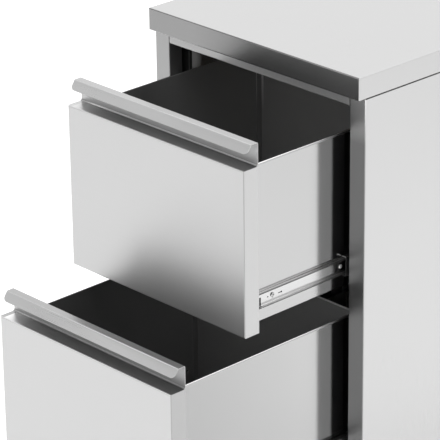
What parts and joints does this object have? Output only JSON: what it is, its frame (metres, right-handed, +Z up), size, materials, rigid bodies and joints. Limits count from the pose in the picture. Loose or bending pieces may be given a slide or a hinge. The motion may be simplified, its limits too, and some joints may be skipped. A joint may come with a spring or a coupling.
{
  "type": "drawer cabinet",
  "caption": "Free-standing stainless steel drawer cabinet with a thick folded worktop, deep drawers on telescopic slides, folded strip handles and adjustable feet.",
  "frame": {"origin": "on the floor, at the centre of the whole object's footprint with the drawers standing open as modelled", "axes": "+Z up, +Y from the drawer fronts towards the back of the cabinet, +X to the right seen from the front"},
  "size_m": [0.5, 0.885, 0.85],
  "materials": {
    "casing_steel": "fine brushed stainless steel, grain along each sheet",
    "front_steel": "fine brushed stainless steel, horizontal grain",
    "box_steel": "satin stainless steel",
    "inner_steel": "mill-finish stainless steel",
    "slide_zinc": "bright zinc plate",
    "black_plastic": "matt moulded",
    "core_board": "moisture-resistant board, raw"
  },
  "bodies": {
    "cabinet": {"worktop_skin": "casing_steel", "worktop_core": "core_board", "left_side_panel": "casing_steel", "right_side_panel": "casing_steel", "back_panel": "casing_steel", "bottom_panel": "inner_steel", "top_front_rail": "casing_steel", "top_rear_rail": "inner_steel", "base_front_rail": "casing_steel", "left_front_upright": "inner_steel", "left_rear_upright": "inner_steel", "right_front_upright": "inner_steel", "right_rear_upright": "inner_steel", "leg_tubes": "casing_steel", "leg_screws": "slide_zinc", "slide_mounting_screws": "slide_zinc", "upper_left_outer_slide": "slide_zinc", "upper_right_outer_slide": "slide_zinc", "lower_left_outer_slide": "slide_zinc", "lower_right_outer_slide": "slide_zinc"},
    "upper_middle_slides": {"upper_left_middle_slide": "slide_zinc", "upper_right_middle_slide": "slide_zinc", "upper_slide_bumpers": "black_plastic"},
    "lower_middle_slides": {"lower_left_middle_slide": "slide_zinc", "lower_right_middle_slide": "slide_zinc", "lower_slide_bumpers": "black_plastic"},
    "upper_outer_cages": {"upper_outer_ball_cages": "slide_zinc"},
    "upper_inner_cages": {"upper_inner_ball_cages": "slide_zinc"},
    "lower_outer_cages": {"lower_outer_ball_cages": "slide_zinc"},
    "lower_inner_cages": {"lower_inner_ball_cages": "slide_zinc"},
    "upper_drawer": {"upper_front_skin": "front_steel", "upper_front_liner": "inner_steel", "upper_box_left_side": "box_steel", "upper_box_right_side": "box_steel", "upper_box_back": "box_steel", "upper_box_floor": "box_steel", "upper_left_inner_slide": "slide_zinc", "upper_right_inner_slide": "slide_zinc", "upper_drawer_screws": "slide_zinc"},
    "lower_drawer": {"lower_front_skin": "front_steel", "lower_front_liner": "inner_steel", "lower_box_left_side": "box_steel", "lower_box_right_side": "box_steel", "lower_box_back": "box_steel", "lower_box_floor": "box_steel", "lower_left_inner_slide": "slide_zinc", "lower_right_inner_slide": "slide_zinc", "lower_drawer_screws": "slide_zinc"},
    "front_left_foot": {"front_left_foot": "black_plastic"},
    "front_right_foot": {"front_right_foot": "black_plastic"},
    "rear_left_foot": {"rear_left_foot": "black_plastic"},
    "rear_right_foot": {"rear_right_foot": "black_plastic"}
  },
  "joints": [
    {"name": "upper_middle_run", "type": "slide", "parent": "cabinet", "child": "upper_middle_slides", "axis": [0, -1, 0], "range_m": [-0.036, 0.164]},
    {"name": "upper_drawer_run", "type": "slide", "parent": "upper_middle_slides", "child": "upper_drawer", "axis": [0, -1, 0], "range_m": [-0.2, 0]},
    {"name": "lower_middle_run", "type": "slide", "parent": "cabinet", "child": "lower_middle_slides", "axis": [0, -1, 0], "range_m": [-0.2, 0]},
    {"name": "lower_drawer_run", "type": "slide", "parent": "lower_middle_slides", "child": "lower_drawer", "axis": [0, -1, 0], "range_m": [-0.2, 0]},
    {"name": "upper_outer_cage_run", "type": "slide", "parent": "cabinet", "child": "upper_outer_cages", "axis": [0, -1, 0], "range_m": [-0.018, 0.082]},
    {"name": "upper_inner_cage_run", "type": "slide", "parent": "upper_middle_slides", "child": "upper_inner_cages", "axis": [0, -1, 0], "range_m": [-0.1, 0]},
    {"name": "lower_outer_cage_run", "type": "slide", "parent": "cabinet", "child": "lower_outer_cages", "axis": [0, -1, 0], "range_m": [-0.1, 0]},
    {"name": "lower_inner_cage_run", "type": "slide", "parent": "lower_middle_slides", "child": "lower_inner_cages", "axis": [0, -1, 0], "range_m": [-0.1, 0]},
    {"name": "front_left_foot_screw", "type": "slide", "parent": "cabinet", "child": "front_left_foot", "axis": [0, 0, -1], "range_m": [0, 0.025]},
    {"name": "front_right_foot_screw", "type": "slide", "parent": "cabinet", "child": "front_right_foot", "axis": [0, 0, -1], "range_m": [0, 0.025]},
    {"name": "rear_left_foot_screw", "type": "slide", "parent": "cabinet", "child": "rear_left_foot", "axis": [0, 0, -1], "range_m": [0, 0.025]},
    {"name": "rear_right_foot_screw", "type": "slide", "parent": "cabinet", "child": "rear_right_foot", "axis": [0, 0, -1], "range_m": [0, 0.025]}
  ],
  "couplings": [
    {"joint": "upper_outer_cage_run", "follows": "upper_middle_run", "ratio": 0.5},
    {"joint": "upper_inner_cage_run", "follows": "upper_drawer_run", "ratio": 0.5},
    {"joint": "lower_outer_cage_run", "follows": "lower_middle_run", "ratio": 0.5},
    {"joint": "lower_inner_cage_run", "follows": "lower_drawer_run", "ratio": 0.5}
  ]
}
